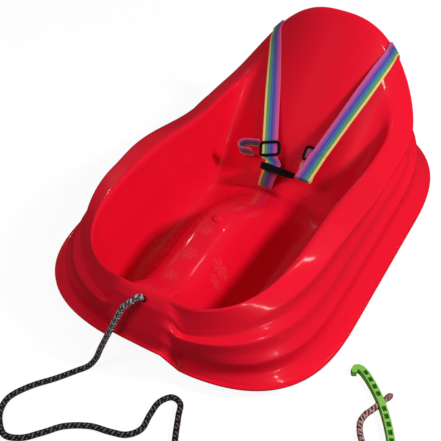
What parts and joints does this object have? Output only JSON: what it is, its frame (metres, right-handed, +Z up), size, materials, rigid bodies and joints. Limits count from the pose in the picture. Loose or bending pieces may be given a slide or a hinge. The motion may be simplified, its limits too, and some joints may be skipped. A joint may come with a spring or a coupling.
{
  "type": "baby pull sled",
  "caption": "Moulded tub sled with a high leaning back, webbing safety harness with side-release buckle, and pull rope with ribbed handle.",
  "frame": {"origin": "centre of the sled's box at the height of the belly it stands on, measured without the pull rope, its knots and its handle", "axes": "+Z up, -Y forwards to the nose where the rope leaves, +Y back to the backrest, +X to the right of a viewer who faces the sled from the front"},
  "size_m": [0.5516, 0.801, 0.241],
  "materials": {
    "shell_red": "glossy",
    "striped_webbing": "ribbed woven webbing in rainbow stripes",
    "buckle_black": "satin",
    "rivet_steel": "satin",
    "rope_braid": "braided, dark with light flecks",
    "handle_green": "satin"
  },
  "bodies": {
    "sled": {"sled_shell": "shell_red", "left_shoulder_strap": "striped_webbing", "right_shoulder_strap": "striped_webbing", "crotch_strap": "striped_webbing", "buckle_socket": "buckle_black", "left_strap_rivet": "rivet_steel", "left_strap_washer": "rivet_steel", "right_strap_rivet": "rivet_steel", "right_strap_washer": "rivet_steel", "crotch_strap_rivet": "rivet_steel", "crotch_strap_washer": "rivet_steel", "pull_rope": "rope_braid", "rope_stop_knot": "rope_braid", "handle_knot": "rope_braid", "pull_handle": "handle_green"},
    "left_adjuster": {"left_adjuster": "buckle_black", "left_strap_tail": "striped_webbing"},
    "right_adjuster": {"right_adjuster": "buckle_black"},
    "plug": {"buckle_plug": "buckle_black", "right_buckle_strap": "striped_webbing"},
    "front_arm": {"front_release_arm": "buckle_black"},
    "rear_arm": {"rear_release_arm": "buckle_black"}
  },
  "joints": [
    {"name": "left_adjuster_slide", "type": "slide", "parent": "sled", "child": "left_adjuster", "axis": [-0.3793, 0.739, 0.5567], "range_m": [0, 0.06]},
    {"name": "right_adjuster_slide", "type": "slide", "parent": "sled", "child": "right_adjuster", "axis": [-0.0428, 0.8216, 0.5685], "range_m": [-0.012, 0.01]},
    {"name": "plug_slide", "type": "slide", "parent": "sled", "child": "plug", "axis": [0.9798, 0.1532, -0.1287], "range_m": [0, 0.018]},
    {"name": "front_arm_press", "type": "hinge", "parent": "plug", "child": "front_arm", "pos_m": [0.01623, 0.07508, 0.05613], "axis": [0, -0.6432, -0.7657], "range_deg": [0, 8], "stiffness_Nm_per_rad": 0.04},
    {"name": "rear_arm_press", "type": "hinge", "parent": "plug", "child": "rear_arm", "pos_m": [0.01277, 0.08806, 0.04523], "axis": [0, 0.6432, 0.7657], "range_deg": [0, 8], "stiffness_Nm_per_rad": 0.04}
  ],
  "couplings": [
    {"joint": "rear_arm_press", "follows": "front_arm_press", "ratio": 1}
  ]
}
